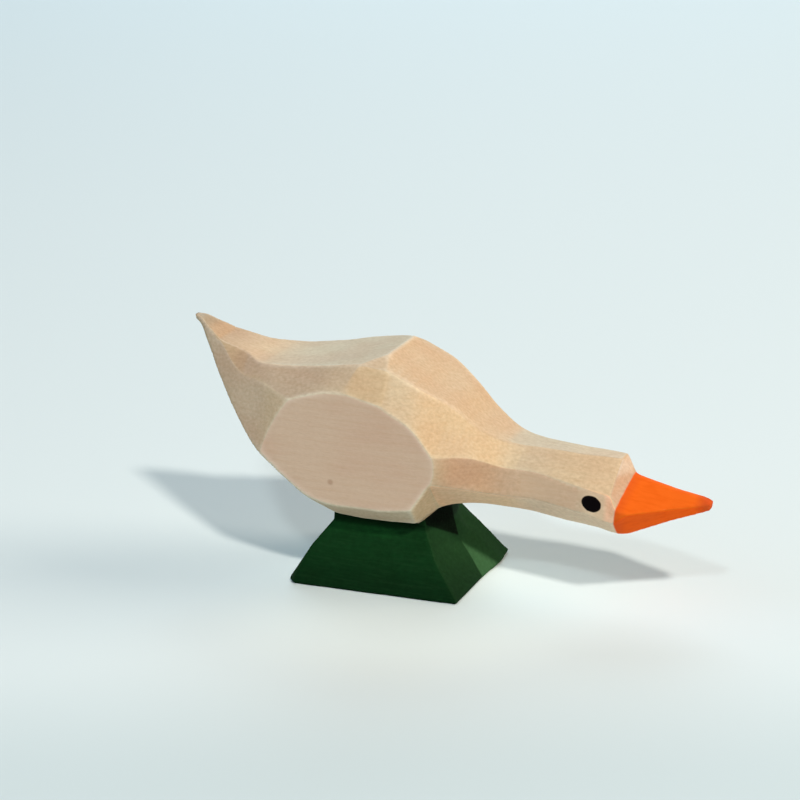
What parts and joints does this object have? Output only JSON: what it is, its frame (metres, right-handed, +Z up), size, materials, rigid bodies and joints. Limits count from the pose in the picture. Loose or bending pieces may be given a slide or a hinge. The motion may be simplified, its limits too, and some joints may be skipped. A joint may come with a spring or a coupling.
{
  "type": "goose figurine",
  "caption": "Stooping goose carved from a board of pale wood with flat knife facets, an orange beak and a green base that stands by its own weight.",
  "frame": {"origin": "middle of the underside of the base", "axes": "+X towards the beak, +Y to the goose's left, +Z up"},
  "size_m": [0.1002, 0.0314, 0.0447],
  "materials": {
    "maple": "knife-cut pale maple, thinly oiled, matt",
    "green_stain": "dark green stain on the base, satin",
    "orange_paint": "orange paint on the beak, satin",
    "black_paint": "black paint on the eyes, satin"
  },
  "bodies": {
    "root": {"goose": "maple"}
  },
  "joints": []
}
